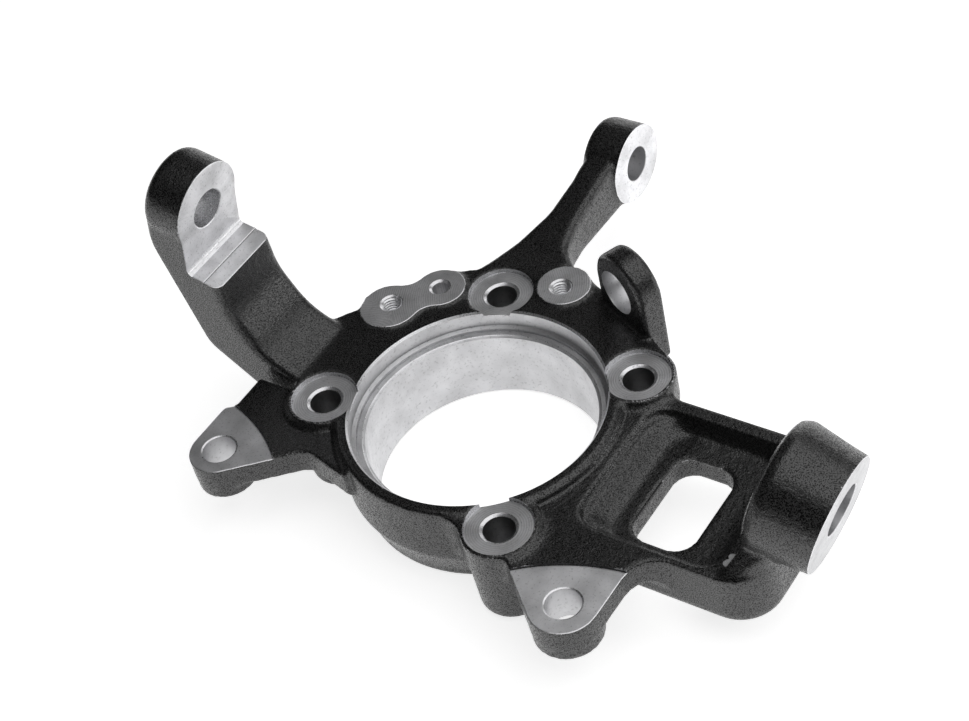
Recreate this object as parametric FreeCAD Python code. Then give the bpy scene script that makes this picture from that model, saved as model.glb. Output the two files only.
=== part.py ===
import FreeCAD, Part
import math
import os
from FreeCAD import Vector

# Steering knuckle: one iron casting that carries the wheel bearing, the brake caliper, the two ball joints
# and the tie rod. Millimetres. Z is the bearing axis, with +Z towards the middle of the vehicle. +Y points
# up on the vehicle, to the upper ball joint, and +X runs along the steering arm. The origin is on the
# bearing axis, in the plane of the four hub bolt faces.

# Bearing bore
bore_radius = 45.3
seat_radius = 48.5
mouth_radius = 50.0
mouth_depth = 8.0
seat_depth = 9.3
bore_chamfer = 0.8

# Levels of the casting
rim_top = 2.2
deck_top = -1.0
deck_thickness = 11.0
ring_height = 40.2

# Ring round the bore
rim_width = 5.0
ring_bulge = 5.6
ring_bulge_depth = 19.5
ring_foot_width = 4.7
ring_foot_bevel = 16.0
ring_edge_bevel = 1.1
skirt_width = 3.2
skirt_inset = 1.0

# Hub bolts, at the angles of the four holes seen from inboard
hub_pitch_radius = 61.7
hub_angles = (23.9, -52.4, -139.8, 109.2)
hub_hole_radius = 6.15
hub_face_radius = 13.2
hub_wall = 1.5
hub_boss_top = 0.9
hub_boss_draft = 1.6
hub_boss_foot_bevel = 3.2
hub_neck_bottom = -19.0
hub_neck_hollow = 12.0
hole_chamfer = 0.8

# Caliper ears: the holes, the milled faces and the round bosses below them
ear_hole_places = ((-57.2, 83.6), (-65.4, -77.7))
ear_hole_radius = 7.0
ear_end_radii = (12.0, 13.3)
ear_edge_angle = 49.0
ear_face_top = -2.0
ear_boss_inset = 0.2
ear_boss_height = 15.2
ear_root_inset = 4.2
ear_root_places = ((-50.0, 28.0), (-20.0, 28.0))
ear_edge_length = 60.0
ear_edge_radius = 9.0
ear_heel_reach = (21.5, 19.0)
ear_heel_radius = 3.0
ear_cutter_radius = 76.0
ear_face_reach = 17.0
ear_face_angles = (-27.0, 22.6)

# Pads for the wheel speed sensor and the brake shield
pad_top = 3.0
pad_screw_place = (32.9, 62.5)
pad_screw_centre = (31.4, 62.3)
pad_screw_radius = 12.0
pad_pin_place = (48.4, 49.0)
pad_pin_radius = 10.3
pad_pin_hole_radius = 3.4
pad_waist_radius = 9.0
round_pad_place = (68.4, 2.3)
round_pad_screw_place = (66.9, 2.9)
round_pad_radius = 10.8
screw_drill_radius = 3.4
pad_margin = -0.6

# Upper arm, with the eye for the upper ball joint; the ball joint axis is also the eye's axis
upper_eye_y = 110.2
upper_eye_z = 66.0
kingpin_angle = 11.2
upper_arm_width = 34.0
upper_arm_centre_x = -0.7
upper_eye_thickness = 18.3
upper_eye_top = 18.8
upper_eye_hole_radius = 8.0
upper_eye_taper = 0.9
upper_ledge_drop = 22.0
upper_ledge_length = 14.0
upper_edge_radius = 3.5
upper_foot_length = 50.0
upper_crown_overrun = 30.0
upper_instep = (29.0, 0.6)
upper_shin_foot = (12.0, 6.5, 24.0)
upper_shin_top = (2.2, 16.0, 26.0)
upper_ledge_radius = 2.2
upper_back_top = (8.0, 24.0)
upper_back_foot = (8.0, 3.0, 12.0)
upper_heel = 14.5
shoulder_overlap = 4.0
shoulder_reach = (29.0, 24.0)
shoulder_radius = 3.0

# Steering arm, with the tie rod eye
tie_eye_x = 146.2
tie_eye_y = 14.0
tie_eye_z = 0.0
tie_eye_radius = 17.0
tie_eye_length = 18.0
tie_hole_radius = 7.4
tie_taper = 0.8
steer_arm_height = 25.0
steer_arm_rise = 8.5
steer_edge_radius = 3.0
tie_eye_bevel = 3.5
steer_root_x = 52.0
steer_belly = (88.0, 40.0)
steer_crest = (125.0, 0.5, 30.0)
steer_saddle = (84.0, 40.0)
steer_eye_overlap = 2.0
steer_inner_edge = ((78.0, 2.0, 4.0), (88.0, 13.0, 14.0), (102.0, 15.2, 30.0))
steer_outer_edge = ((120.0, 28.8, 30.0), (102.0, 29.8, 30.0), (72.0, 39.0, 20.0))

# Upright tab at the edge of the deck, with its hole pointing at the bore
tab_angle = -24.4
tab_distance = 67.4
tab_thickness = 10.5
tab_width = 30.4
tab_top = 33.0
tab_hole_height = 15.8
tab_hole_radius = 9.2
tab_offset = -1.8
tab_edge_bevel = 1.2
tab_foot_inset = 1.5
tab_foot_turn = 9.0
tab_foot_radius = 6.5

# Web between the bore and the lower ball joint, pocketed on both sides and cut through
web_half_width = 35.0
web_depth = 24.0
web_near_y = -43.0
web_end_y = -137.0
web_end_radius = 16.0
pocket_left = -32.6
pocket_right = 29.7
pocket_near_y = -60.5
pocket_far_y = -119.0
pocket_depth = 7.0
pocket_draft = 3.5
pocket_corner_radius = 9.0
pocket_floor_radius = 3.0
under_pocket_depth = 7.0
window_left = -25.3
window_right = 16.3
window_near_y = -78.3
window_far_y = -103.0
window_corner_radius = 8.0
web_edge_radius = 5.0
apron_outer_x = -60.0
apron_inner_x = -20.0
apron_radius = 13.0
apron_root_inset = 10.0
pocket_near_slope = 3.0

# Boss of the lower ball joint
lower_eye_y = -152.6
lower_eye_z = 12.9
lower_tilt = 13.7
lower_face_radius = 22.4
lower_boss_radius = 25.2
lower_boss_length = 26.5
lower_boss_shift = (-1.9, -0.8)
lower_boss_bevel = 5.0
lower_hole_radius = 10.0
gusset_reach = 10.0
gusset_rise = 13.0
gusset_hollow = 9.0
gusset_left = -21.0
lower_taper = 1.2

# Roundings of the casting's inside corners
apron_root_radius = 5.0
ring_root_radius = 4.0
tie_eye_root_radius = 1.5
hub_root_radius = 6.0
hub_neck_radius = 3.0

# How far apart two surfaces may lie and still be joined as touching
join_tolerance = 0.001

# Values worked out from the sizes above
deck_bottom = deck_top - deck_thickness
ring_bottom = rim_top - ring_height
hub_boss_radius = hub_face_radius + hub_wall
up = Vector(0, 0, 1)
across = Vector(1, 0, 0)
outboard = Vector(0, 1, 0)
lean = math.radians(kingpin_angle)
kingpin = Vector(0, math.cos(lean), math.sin(lean))
kingpin_square = Vector(0, -math.sin(lean), math.cos(lean))
lower_lean = math.radians(lower_tilt)
lower_axis = Vector(0, math.cos(lower_lean), math.sin(lower_lean))
lower_square = Vector(0, -math.sin(lower_lean), math.cos(lower_lean))
upper_eye = Vector(upper_arm_centre_x, upper_eye_y, upper_eye_z)
lower_eye = Vector(0, lower_eye_y, lower_eye_z)
tie_eye = Vector(tie_eye_x, tie_eye_y, tie_eye_z)


def polar(radius, degrees):
    """A point on a circle round the bearing axis."""
    turn = math.radians(degrees)
    return (radius * math.cos(turn), radius * math.sin(turn))


hub_places = [polar(hub_pitch_radius, degrees) for degrees in hub_angles]
ears = list(zip(ear_hole_places, ear_end_radii, (1, -1)))


def rounded_wire(corners, origin=Vector(0, 0, 0), u=across, v=outboard):
    """A closed outline in the plane of u and v, from corners (a, b, corner radius)."""
    points = [origin + u * a + v * b for a, b, _ in corners]
    stretches = []
    for number, (_, _, radius) in enumerate(corners):
        here = points[number]
        back = (points[number - 1] - here).normalize()
        ahead = (points[(number + 1) % len(points)] - here).normalize()
        if radius == 0:
            stretches.append((here, None, here))
            continue
        half = back.getAngle(ahead) / 2
        run = radius / math.tan(half)
        inward = (back + ahead).normalize()
        centre = here + inward * (radius / math.sin(half))
        stretches.append((here + back * run, centre - inward * radius, here + ahead * run))
    edges = []
    for number, (start, middle, end) in enumerate(stretches):
        if middle is not None:
            edges.append(Part.Arc(start, middle, end).toShape())
        following = stretches[(number + 1) % len(stretches)][0]
        if end.distanceToPoint(following) > 0.001:
            edges.append(Part.LineSegment(end, following).toShape())
    return Part.Wire(edges)


def prism(corners, origin, u, v, push):
    """A rounded outline pushed along a vector."""
    return Part.Face(rounded_wire(corners, origin, u, v)).extrude(push)


def slab(corners, bottom, top):
    """A rounded outline in plan, from one level to another."""
    return prism(corners, up * bottom, across, outboard, up * (top - bottom))


def post(place, radius, bottom, top, foot_radius=None):
    """An upright round post, drafted when its foot radius differs."""
    base = Vector(place[0], place[1], bottom)
    if foot_radius is None or foot_radius == radius:
        return Part.makeCylinder(radius, top - bottom, base)
    return Part.makeCone(foot_radius, radius, top - bottom, base)


def belt(first, first_radius, second, second_radius, bottom, top):
    """A plate round two circles and the two lines that touch both."""
    start = Vector(first[0], first[1], bottom)
    end = Vector(second[0], second[1], bottom)
    along = (end - start).normalize()
    side = up.cross(along)
    slope = (first_radius - second_radius) / start.distanceToPoint(end)
    rise = math.sqrt(1 - slope * slope)
    left = along * slope + side * rise
    right = along * slope - side * rise
    edges = [
        Part.LineSegment(start + left * first_radius, end + left * second_radius).toShape(),
        Part.Arc(end + left * second_radius, end + along * second_radius,
                 end + right * second_radius).toShape(),
        Part.LineSegment(end + right * second_radius, start + right * first_radius).toShape(),
        Part.Arc(start + right * first_radius, start - along * first_radius,
                 start + left * first_radius).toShape(),
    ]
    return Part.Face(Part.Wire(edges)).extrude(up * (top - bottom))


def neck(first, first_radius, second, second_radius, hollow_radius, bottom, top):
    """The plate between two round posts, with a hollow on each side that touches both."""
    start = Vector(first[0], first[1], 0)
    end = Vector(second[0], second[1], 0)
    along = (end - start).normalize()
    side = up.cross(along)
    span = start.distanceToPoint(end)
    start_reach = first_radius + hollow_radius
    end_reach = second_radius + hollow_radius
    run = (span * span + start_reach * start_reach - end_reach * end_reach) / (2 * span)
    offset = math.sqrt(start_reach * start_reach - run * run)
    left = start + along * run + side * offset
    right = start + along * run - side * offset
    outline = [
        start,
        start + (left - start).normalize() * first_radius,
        end + (left - end).normalize() * second_radius,
        end,
        end + (right - end).normalize() * second_radius,
        start + (right - start).normalize() * first_radius,
    ]
    plate = slab([(point.x, point.y, 0) for point in outline], bottom, top)
    for hollow in (left, right):
        plate = plate.cut(post((hollow.x, hollow.y), hollow_radius, bottom, top))
    return plate


def cove(place, radius, wall, along, out, hollow_radius, bottom, top):
    """Fills the inside corner of a round post and a wall, with a hollow that touches both."""
    centre = Vector(place[0], place[1], 0)
    reach = radius + hollow_radius
    sideways = (wall + out * hollow_radius - centre).dot(out)
    run = math.sqrt(reach * reach - sideways * sideways)
    hollow = centre + out * sideways + along * run
    outline = [
        centre,
        centre + (hollow - centre).normalize() * radius,
        hollow - out * hollow_radius,
        hollow - out * reach,
        centre + out * (sideways - reach),
    ]
    plate = slab([(point.x, point.y, 0) for point in outline], bottom, top)
    return plate.cut(post((hollow.x, hollow.y), hollow_radius, bottom, top))


def turned(profile, start, axis):
    """A solid turned about an axis, from its corners (radius, distance along the axis)."""
    square = axis.cross(across)
    points = [start + square * radius + axis * distance for radius, distance in profile]
    return Part.Face(Part.makePolygon(points + points[:1])).revolve(start, axis, 360)


def barrel(start, axis, front_radius, back_radius, length, bevel):
    """A round boss whose back edge is bevelled in two steps, close to a rounding of that size."""
    middle = bevel * (1 - math.sqrt(0.5))
    return turned([
        (0, 0),
        (front_radius, 0),
        (back_radius, length - bevel),
        (back_radius - middle, length - middle),
        (back_radius - bevel, length),
        (0, length),
    ], start, axis)


def round_edges(solid, radius, wanted):
    """Fillets the edges that the test picks."""
    return solid.makeFillet(radius, [edge for edge in solid.Edges if wanted(edge)])


def nearest_edge(solid, place):
    """The edge whose middle is nearest to a point."""
    return min(solid.Edges, key=lambda edge: (middle_of(edge) - place).Length)


def middle_of(edge):
    """The point halfway along an edge's range."""
    return edge.valueAt((edge.FirstParameter + edge.LastParameter) / 2)


def joined(solids):
    """One clean solid from several that overlap."""
    return solids[0].multiFuse(solids[1:], join_tolerance).removeSplitter()


def bearing_ring():
    """The wall round the bore: a narrow rim, a bulged side and a bevelled foot."""
    inner = bore_radius - 1
    rim = mouth_radius + rim_width
    bulge = mouth_radius + ring_bulge
    return turned([
        (inner, ring_bottom),
        (bore_radius + ring_foot_width, ring_bottom),
        (bulge, ring_bottom + ring_foot_bevel),
        (bulge, rim_top - ring_bulge_depth),
        (rim, rim_top - ring_edge_bevel),
        (rim - ring_edge_bevel, rim_top),
        (inner, rim_top),
    ], Vector(0, 0, 0), up)


def skirts():
    """The sloping foot of the ring and of the hub bosses where they rise out of the low deck."""
    plans = [web_plan(), apron_plan()]
    plans += [ear_plan(*ear) for ear in ears]
    cover = joined([slab(plan, deck_bottom, rim_top) for plan in plans])
    opening = slab(pocket_plan(0), deck_bottom, rim_top)
    rim = mouth_radius + rim_width
    height = rim_top - deck_top
    feet = [Part.makeCone(rim + skirt_width, rim - skirt_inset, height, up * deck_top)]
    for place in hub_places[1:]:
        feet.append(post(place, hub_boss_radius - skirt_inset, deck_top, hub_boss_top,
                         hub_boss_radius + skirt_width))
    return joined(feet).common(cover).cut(opening)


def hub_bosses():
    """Four drafted columns that the hub bolts pass through, and the neck that ties one to the ring."""
    foot_radius = hub_boss_radius - hub_boss_draft
    outline = [
        (0, ring_bottom),
        (foot_radius - hub_boss_foot_bevel, ring_bottom),
        (foot_radius, ring_bottom + hub_boss_foot_bevel),
        (hub_boss_radius, hub_boss_top),
        (0, hub_boss_top),
    ]
    columns = [turned(outline, Vector(x, y, 0), up) for x, y in hub_places]
    low_left = hub_places[2]
    ring_edge = mouth_radius + rim_width
    tie = neck((0, 0), ring_edge, low_left, hub_boss_radius, hub_neck_hollow, hub_neck_bottom, hub_boss_top)
    return columns + [tie]


def upper_deck():
    """The thick plate that ties the hub bosses, the pads and the tab together."""
    inner_right, lower_right, _, upper_left = hub_places
    screw_edge = pad_screw_radius + pad_margin
    pin_edge = pad_pin_radius + pad_margin
    round_edge = round_pad_radius + pad_margin
    foot = polar(tab_distance - tab_foot_inset, tab_angle + tab_foot_turn)
    arm_edge = upper_arm_centre_x + upper_arm_width / 2
    shoulder = slab([
        (arm_edge - shoulder_overlap, mouth_radius + rim_width, 0),
        (pad_screw_centre[0], mouth_radius + rim_width, 0),
        (pad_screw_centre[0], pad_screw_centre[1] + 2 * shoulder_overlap, 0),
        (arm_edge, upper_eye_y - shoulder_reach[0], shoulder_radius),
        (arm_edge - shoulder_overlap, upper_eye_y - shoulder_reach[1], 0),
    ], deck_bottom, rim_top)
    middle = [hub[:2] for hub in (upper_left, pad_screw_centre, pad_pin_place, inner_right)]
    middle += [round_pad_place, foot, lower_right, (0, 0)]
    filling = slab([(x, y, 0) for x, y in middle], deck_bottom, rim_top)
    chain = [
        (upper_left, hub_boss_radius),
        (pad_screw_centre, screw_edge),
        (pad_pin_place, pin_edge),
        (inner_right, hub_boss_radius),
        (round_pad_place, round_edge),
        (foot, tab_foot_radius),
        (lower_right, hub_boss_radius),
    ]
    plates = [belt(*chain[number], *chain[number + 1], deck_bottom, rim_top)
              for number in range(len(chain) - 1) if number != 1]
    return plates + [shoulder, filling]


def sensor_pads():
    """The waisted pad of the speed sensor and the round pad of the brake shield."""
    return [
        post(pad_screw_centre, pad_screw_radius, deck_bottom, pad_top),
        post(pad_pin_place, pad_pin_radius, deck_bottom, pad_top),
        neck(pad_screw_centre, pad_screw_radius, pad_pin_place, pad_pin_radius, pad_waist_radius,
             deck_bottom, pad_top),
        post(round_pad_place, round_pad_radius, deck_bottom, pad_top),
    ]


def ear_plan(place, end_radius, side):
    """The outline of an ear: its edge turns round the hole and runs back to the ring."""
    x, y = place
    turn = math.radians(ear_edge_angle)
    reach = end_radius * (1 + math.cos(turn)) / math.sin(turn)
    outer_y = y + side * end_radius
    corner_x = x - reach
    near_x = corner_x + ear_edge_length * math.cos(turn)
    near_y = outer_y - side * ear_edge_length * math.sin(turn)
    root_y = outer_y - side * ear_root_inset
    (low_x, low_y), (inner_x, inner_y) = ear_root_places
    root_x, heel_x = ear_heel_reach
    return [
        (corner_x, outer_y, end_radius),
        (near_x, near_y, ear_edge_radius),
        (low_x, side * low_y, 0),
        (inner_x, side * inner_y, 0),
        (inner_x, root_y, 0),
        (x + root_x, root_y, ear_heel_radius),
        (x + heel_x, outer_y, ear_heel_radius),
    ]


def caliper_ear(place, end_radius, side):
    """One ear: its plate, and the boss below its hole."""
    plate = slab(ear_plan(place, end_radius, side), deck_bottom, deck_top)
    boss = post(place, end_radius - ear_boss_inset, ear_face_top - ear_boss_height, deck_top)
    return [plate, boss]


def arm_side_view():
    """The gooseneck seen along X, in Y and Z, with the ball joint face and its ledge."""
    foot_y = upper_eye_y - upper_foot_length
    ledge = Vector(0, upper_eye_y, upper_eye_z) - kingpin_square * upper_ledge_drop
    tip = ledge - kingpin * upper_ledge_length
    crown = Vector(0, upper_eye_y, upper_eye_z) + kingpin_square * upper_crown_overrun
    crown_back = crown + kingpin * upper_eye_thickness
    back = ledge + kingpin * upper_eye_thickness + kingpin_square * upper_back_top[0]
    instep_back, instep_drop = upper_instep
    foot_back, foot_rise, foot_radius = upper_shin_foot
    shin_back, shin_drop, shin_radius = upper_shin_top
    heel_reach, heel_rise, heel_radius = upper_back_foot
    return [
        (foot_y, deck_bottom, 0),
        (foot_y, rim_top - 1, 0),
        (tip.y - instep_back, rim_top - instep_drop, 0),
        (tip.y - foot_back, rim_top + foot_rise, foot_radius),
        (tip.y - shin_back, tip.z - shin_drop, shin_radius),
        (tip.y, tip.z, 0),
        (ledge.y, ledge.z, 0),
        (crown.y, crown.z, 0),
        (crown_back.y, crown_back.z, 0),
        (back.y, back.z, upper_back_top[1]),
        (upper_eye_y + heel_reach, rim_top + heel_rise, heel_radius),
        (upper_eye_y - upper_heel, deck_bottom, 0),
    ]


def upper_arm():
    """The gooseneck: its side view and its front view, rounded over the eye, in common."""
    start = across * (upper_arm_centre_x - upper_arm_width / 2)
    side = prism(arm_side_view(), start, outboard, up, across * upper_arm_width)
    half = upper_arm_width / 2
    front = [
        (-half, -upper_eye_y, 0),
        (half, -upper_eye_y, 0),
        (half, upper_eye_top, half - 0.2),
        (-half, upper_eye_top, half - 0.2),
    ]
    view = prism(front, upper_eye - kingpin * upper_eye_z, across, kingpin_square, kingpin * 2 * upper_eye_z)
    arm = side.common(view)
    low_front = upper_eye_z - upper_ledge_drop - 6

    def long_edge(edge):
        box = edge.BoundBox
        flat = box.XLength < 0.01 and abs(box.XMin - upper_arm_centre_x) > half - 0.01
        inner = box.YMax < upper_eye_y - 6 and box.ZMax < low_front + 2 and box.ZMin > rim_top - 0.5
        outer = box.YMin > upper_eye_y + 4 and box.ZMin > rim_top - 2 and box.YMax > upper_eye_y + 9
        crown = box.YMin > upper_eye_y + 9 and box.ZMax > upper_eye_z + half / 2
        return crown or flat and (inner or outer)

    arm = round_edges(arm, upper_edge_radius, long_edge)
    ledge = upper_eye - kingpin_square * upper_ledge_drop
    return arm.makeFillet(upper_ledge_radius, [nearest_edge(arm, ledge)])


def steering_arm():
    """The steering arm: its plan and its side view in common, with the tie rod eye at its end."""
    plan = [
        (steer_root_x, 0.0, 0),
        *steer_inner_edge,
        (tie_eye_x - steer_eye_overlap, tie_eye_y + 1.2, 0),
        (tie_eye_x - steer_eye_overlap, tie_eye_y + tie_eye_length - 1, 0),
        *steer_outer_edge,
        (steer_root_x, steer_outer_edge[-1][1] + 8, 0),
    ]
    top = rim_top + steer_arm_rise
    belly_x, belly_radius = steer_belly
    crest_x, crest_drop, crest_radius = steer_crest
    saddle_x, saddle_radius = steer_saddle
    side = [
        (steer_root_x, deck_bottom, 0),
        (belly_x, deck_bottom, belly_radius),
        (tie_eye_x, top - steer_arm_height, 0),
        (tie_eye_x, top, 0),
        (crest_x, top - crest_drop, crest_radius),
        (saddle_x, rim_top, saddle_radius),
        (steer_root_x, rim_top, 0),
    ]
    body = slab(plan, deck_bottom - steer_arm_height, top + steer_arm_height)
    view = prism(side, outboard * -steer_root_x, across, up, outboard * 3 * steer_root_x)
    arm = body.common(view)
    arm = round_edges(arm, steer_edge_radius, steering_long_edge)
    return [arm, barrel(tie_eye, outboard, tie_eye_radius, tie_eye_radius, tie_eye_length, tie_eye_bevel)]


def steering_long_edge(edge):
    """Picks the long edges of the steering arm, top and bottom, away from its two ends."""
    box = edge.BoundBox
    ends = box.XMax < 79 or box.XMin > tie_eye_x - 4 or box.XLength < 3
    upright = box.ZLength > 15
    return not ends and not upright and box.YLength < 20


def upright_tab():
    """The tab: a round-topped plate square to a line through the bore."""
    turn = math.radians(tab_angle)
    radial = Vector(math.cos(turn), math.sin(turn), 0)
    sideways = Vector(-math.sin(turn), math.cos(turn), 0)
    half = tab_width / 2
    corners = [
        (tab_offset - half, deck_bottom, 0),
        (tab_offset + half, deck_bottom, 0),
        (tab_offset + half, tab_top, half - 0.3),
        (tab_offset - half, tab_top, half - 0.3),
    ]
    tab = prism(corners, radial * tab_distance, sideways, up, radial * tab_thickness)
    rim_edges = [edge for edge in tab.Edges if edge.BoundBox.ZMax > deck_top
                 and edge.BoundBox.ZLength > tab_thickness]
    return tab.makeChamfer(tab_edge_bevel, rim_edges)


def web_plan():
    """The outline of the web below the bore."""
    return [
        (-web_half_width, web_near_y, 0),
        (-web_half_width, web_end_y, web_end_radius),
        (web_half_width, web_end_y, web_end_radius),
        (web_half_width, web_near_y, 0),
    ]


def apron_plan():
    """The outline of the plate that sweeps from the lower ear into the web's side."""
    ear_y = ear_hole_places[1][1] - ear_end_radii[1]
    return [
        (apron_outer_x, ear_y, 0),
        (-web_half_width, ear_y, apron_radius),
        (-web_half_width, pocket_far_y, 0),
        (apron_inner_x, pocket_far_y, 0),
        (apron_inner_x, pocket_near_y, 0),
        (apron_outer_x, pocket_near_y - apron_root_inset, 0),
    ]


def lower_web():
    """The deep web below the bore, before its pockets are cut."""
    bottom = deck_top - web_depth
    web = slab(web_plan(), bottom, deck_top)
    web = round_edges(web, web_edge_radius, lambda edge: edge.BoundBox.ZMax < bottom + 0.1
                      and edge.BoundBox.YMin < pocket_near_y)
    return [web, slab(apron_plan(), deck_bottom, deck_top)]


def pocket_plan(inset):
    """The pocket's outline; the wall nearest the bore slopes more than the others."""
    near_y = pocket_near_y - pocket_near_slope * inset
    return [
        (pocket_left + inset, pocket_far_y + inset, pocket_corner_radius),
        (pocket_right - inset, pocket_far_y + inset, pocket_corner_radius),
        (pocket_right - inset, near_y, pocket_corner_radius),
        (pocket_left + inset, near_y, pocket_corner_radius),
    ]


def pocket_tool():
    """The upper pocket, drafted, with a rounded floor."""
    floor = deck_top - pocket_depth
    bottom_outline = rounded_wire(pocket_plan(pocket_draft), up * floor)
    top_outline = rounded_wire(pocket_plan(0), up * deck_top)
    tool = Part.makeLoft([bottom_outline, top_outline], True, True)
    return round_edges(tool, pocket_floor_radius, lambda edge: edge.BoundBox.ZMax < floor + 0.01)


def lower_boss():
    """The barrel round the lower ball joint, wider at its bevelled back."""
    sideways, upward = lower_boss_shift
    middle = lower_eye + across * sideways + lower_square * upward
    return barrel(middle, lower_axis, lower_face_radius, lower_boss_radius, lower_boss_length,
                  lower_boss_bevel)


def boss_gusset():
    """The hollowed fillet that carries the back of the lower boss down to the pocket's floor."""
    floor = deck_top - pocket_depth
    back_y = pocket_far_y - pocket_draft
    side = [
        (back_y + gusset_reach, floor - 1, 0),
        (back_y + gusset_reach, floor + 0.2, 0),
        (back_y, floor + 0.5, gusset_hollow),
        (back_y - 2, floor + gusset_rise, 0),
        (back_y - gusset_reach, floor + gusset_rise, 0),
        (back_y - gusset_reach, floor - 1, 0),
    ]
    return prism(side, across * gusset_left, outboard, up, across * (pocket_right - gusset_left))


def hole(place, radius, bottom, top):
    """A drill through one face, with the chamfer at its mouth."""
    drill = post(place, radius, bottom, top + 5)
    sink = post(place, radius + hole_chamfer + 2, top - hole_chamfer, top + 2, radius)
    return [drill, sink]


def taper_hole(mouth, direction, radius, slope, length):
    """A taper seat for a ball stud, widest at its mouth."""
    return Part.makeCone(radius, radius - slope, length, mouth, direction)


def bore_cut():
    """The stepped bore: open mouth, seal seat, ledge and bearing bore."""
    seat_z = rim_top - mouth_depth
    ledge_z = rim_top - seat_depth
    return turned([
        (0, ring_bottom - 1),
        (bore_radius + bore_chamfer + 1, ring_bottom - 1),
        (bore_radius, ring_bottom + bore_chamfer),
        (bore_radius, ledge_z - bore_chamfer),
        (bore_radius + bore_chamfer, ledge_z),
        (seat_radius, ledge_z),
        (seat_radius, seat_z),
        (mouth_radius, seat_z + 0.6),
        (mouth_radius, rim_top - bore_chamfer),
        (mouth_radius + 3 * bore_chamfer, rim_top + 2 * bore_chamfer),
        (0, rim_top + 2 * bore_chamfer),
    ], Vector(0, 0, 0), up)


def ear_cut(place, degrees):
    """The milled face of an ear, ended by the sweep of the cutter."""
    back_x, back_y = polar(ear_cutter_radius - ear_face_reach, degrees)
    centre = (place[0] - back_x, place[1] - back_y)
    return post(centre, ear_cutter_radius, ear_face_top, rim_top)


def machining():
    """Everything that is cut after casting."""
    tools = [bore_cut()]
    for place in hub_places:
        tools.append(post(place, hub_face_radius, 0, rim_top + 8))
        tools.extend(hole(place, hub_hole_radius, ring_bottom - 1, 0))
    for place, degrees in zip(ear_hole_places, ear_face_angles):
        tools.append(ear_cut(place, degrees))
        tools.extend(hole(place, ear_hole_radius, ear_face_top - ear_boss_height - 1, ear_face_top))
    for place in (pad_screw_place, round_pad_screw_place):
        tools.extend(hole(place, screw_drill_radius, deck_bottom - 1, pad_top))
    tools.extend(hole(pad_pin_place, pad_pin_hole_radius, deck_bottom - 1, pad_top))
    tools.append(taper_hole(upper_eye, kingpin, upper_eye_hole_radius, upper_eye_taper,
                            upper_eye_thickness + 1))
    tools.append(taper_hole(tie_eye, outboard, tie_hole_radius, tie_taper, tie_eye_length + 1))
    turn = math.radians(tab_angle)
    radial = Vector(math.cos(turn), math.sin(turn), 0)
    tab_mouth = radial * (tab_distance - 1) + up * tab_hole_height
    tools.append(Part.makeCylinder(tab_hole_radius, tab_thickness + 2, tab_mouth, radial))
    tools.append(taper_hole(lower_eye, lower_axis, lower_hole_radius, lower_taper, lower_boss_length + 1))
    return tools


def web_cuts():
    """The two pockets of the web and the window between them."""
    bottom = deck_top - web_depth
    under_pocket = slab(pocket_plan(pocket_draft), bottom, bottom + under_pocket_depth)
    window = slab([
        (window_left, window_far_y, window_corner_radius),
        (window_right, window_far_y, window_corner_radius),
        (window_right, window_near_y, window_corner_radius),
        (window_left, window_near_y, window_corner_radius),
    ], bottom, deck_top)
    return [pocket_tool(), under_pocket, window]


def root_coves():
    """The hollows where two hub bosses meet the edges of the low deck, and where the ring meets the web."""
    _, lower_right, low_left, _ = hub_places
    turn = math.radians(ear_edge_angle)
    ear_corner = ear_plan(*ears[1])[0]
    coves = [
        cove(lower_right, hub_boss_radius, across * web_half_width, -outboard, across, hub_root_radius,
             deck_bottom, deck_top),
        cove(low_left, hub_boss_radius, Vector(ear_corner[0], ear_corner[1], 0),
             Vector(-math.cos(turn), -math.sin(turn), 0), Vector(-math.sin(turn), math.cos(turn), 0),
             hub_neck_radius, deck_bottom, deck_top),
    ]
    web_bottom = deck_top - web_depth
    middle = ring_root_radius * (1 - math.sqrt(0.5))
    edge = mouth_radius + ring_bulge
    collar = turned([
        (bore_radius + 1, web_bottom - ring_root_radius),
        (edge, web_bottom - ring_root_radius),
        (edge + middle, web_bottom - middle),
        (edge + ring_root_radius, web_bottom),
        (bore_radius + 1, web_bottom),
    ], Vector(0, 0, 0), up)
    return coves + [collar.common(slab(web_plan(), web_bottom - ring_root_radius, web_bottom))]


def knuckle():
    """The casting with its pockets, then the machined faces and holes."""
    low_parts = lower_web()
    for ear in ears:
        low_parts.extend(caliper_ear(*ear))
    low_deck = joined(low_parts)
    apron_root = Vector(-web_half_width, ear_hole_places[1][1], deck_bottom)
    low_deck = low_deck.makeFillet(apron_root_radius, [nearest_edge(low_deck, apron_root)])
    low_deck = low_deck.cut(web_cuts())
    bodies = [low_deck, skirts(), bearing_ring(), lower_boss(), boss_gusset(), upper_arm(), upright_tab()]
    bodies.extend(hub_bosses())
    bodies.extend(upper_deck())
    bodies.extend(sensor_pads())
    bodies.extend(steering_arm())
    bodies.extend(root_coves())
    casting = joined(bodies)
    eye_root = tie_eye - across * tie_eye_radius + outboard
    casting = casting.makeFillet(tie_eye_root_radius, [nearest_edge(casting, eye_root)])
    return casting.cut(machining()).removeSplitter()


os.makedirs("parts", exist_ok=True)
shape = knuckle()
if shape.ShapeType == "Compound" and len(shape.Solids) == 1:
    shape = shape.Solids[0]
print("solids", len(shape.Solids), "valid", shape.isValid(), "volume", round(shape.Volume), shape.BoundBox)
shape.exportStep("parts/knuckle_casting.step")
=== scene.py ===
import bmesh
import bpy
import math
import numpy as np
from mathutils import Matrix, Vector


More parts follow.
